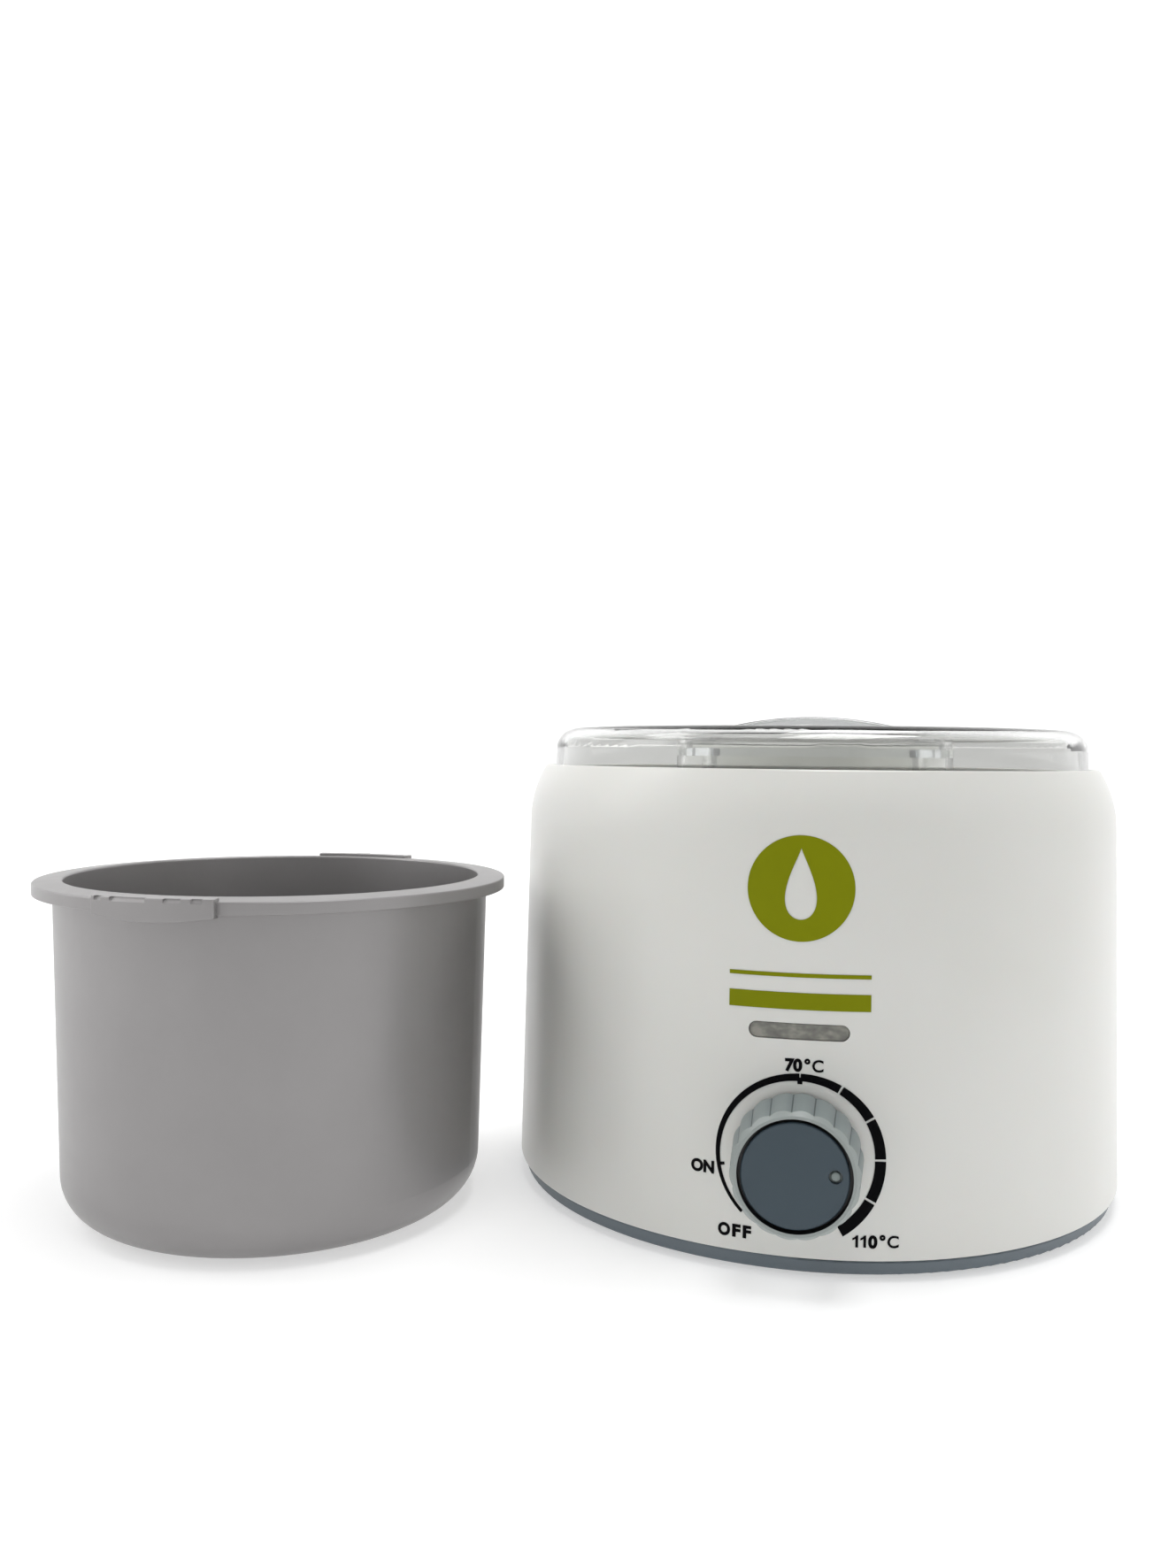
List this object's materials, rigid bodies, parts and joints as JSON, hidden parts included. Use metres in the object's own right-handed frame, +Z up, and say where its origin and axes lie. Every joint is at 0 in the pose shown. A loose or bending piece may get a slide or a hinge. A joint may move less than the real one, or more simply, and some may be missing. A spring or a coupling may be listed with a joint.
{
  "type": "wax warmer",
  "caption": "Round salon wax warmer with a heat dial, an indicator lens and a clear lift-off lid, and its removable metal wax pot standing beside it.",
  "frame": {"origin": "centre of the underside of the warmer's rubber foot ring, on the surface that it stands on", "axes": "+Z up along the warmer's axis; the dial and the indicator face -Y; the cord entry faces +Y; the loose pot stands towards -X"},
  "size_m": [0.272, 0.2027, 0.1246],
  "materials": {
    "shell_white": "satin moulded shell",
    "base_grey": "matt moulded base",
    "foot_rubber": "matt rubber",
    "lid_clear": "clear moulding with a slight grey tint",
    "pot_aluminium": "bead-blasted, anodised",
    "well_aluminium": "spun, bare",
    "band_steel": "heat-tinted strip",
    "fibre_sleeve": "woven glass-fibre sleeve",
    "steel_hardware": "zinc plated",
    "brass_hardware": "bright",
    "sensor_copper": "copper, drawn",
    "thermostat_black": "phenolic moulding",
    "board_laminate": "circuit board",
    "led_epoxy": "cast epoxy",
    "lens_smoke": "translucent grey lens",
    "dial_grey": "matt moulded skirt",
    "dial_face": "dark slate cap",
    "pointer_grey": "inlaid dot",
    "block_ceramic": "steatite-coloured block",
    "gland_black": "nylon",
    "wire_brown": "insulated wire",
    "wire_blue": "insulated wire",
    "wire_green": "insulated wire with a stripe",
    "wire_white": "insulated wire",
    "mica_grey": "fuse case",
    "ink_black": "pad-printed ink",
    "ink_olive": "pad-printed ink"
  },
  "bodies": {
    "warmer": {"outer_shell": "shell_white", "base_cover": "base_grey", "rubber_foot_ring": "foot_rubber", "base_screws": "steel_hardware", "heating_well": "well_aluminium", "shield_spacers": "steel_hardware", "heat_shield_plate": "well_aluminium", "shield_nuts": "steel_hardware", "well_brackets": "steel_hardware", "well_bracket_screws": "steel_hardware", "heater_band": "band_steel", "band_clamp_screw": "steel_hardware", "band_clamp_nut": "steel_hardware", "insulation_sleeve": "fibre_sleeve", "sensor_bulb": "sensor_copper", "thermal_fuse": "mica_grey", "sensor_strap": "steel_hardware", "fuse_strap": "steel_hardware", "thermostat_body": "thermostat_black", "thermostat_washer": "steel_hardware", "thermostat_nut": "brass_hardware", "indicator_lens": "lens_smoke", "indicator_board": "board_laminate", "indicator_leds": "led_epoxy", "board_screws": "steel_hardware", "cord_gland": "gland_black", "cord_gland_nut": "gland_black", "terminal_block": "block_ceramic", "terminal_screws": "brass_hardware", "capillary_tube": "sensor_copper", "wire_live": "wire_brown", "wire_switched": "wire_brown", "wire_heater_live": "wire_brown", "wire_neutral": "wire_blue", "wire_earth": "wire_green", "lamp_wires": "wire_white"},
    "dial": {"thermostat_shaft": "steel_hardware", "knob_skirt": "dial_grey", "knob_cap": "dial_face", "knob_pointer": "pointer_grey", "knob_spring_clip": "steel_hardware"},
    "lid_body": {"lid": "lid_clear"},
    "pot": {"wax_pot": "pot_aluminium", "pot_grip_front": "pot_aluminium", "pot_grip_rear": "pot_aluminium"}
  },
  "joints": [
    {"name": "knob_turn", "type": "hinge", "parent": "warmer", "child": "dial", "pos_m": [0, -0.08, 0.0267], "axis": [0, 1, 0], "range_deg": [-217.5, 63.5]},
    {"name": "lid_lift", "type": "slide", "parent": "warmer", "child": "lid_body", "axis": [0, 0, 1], "range_m": [0, 0.2]},
    {"name": "pot_lift", "type": "slide", "parent": "warmer", "child": "pot", "axis": [0, 0, 1], "range_m": [0, 0.13]}
  ]
}
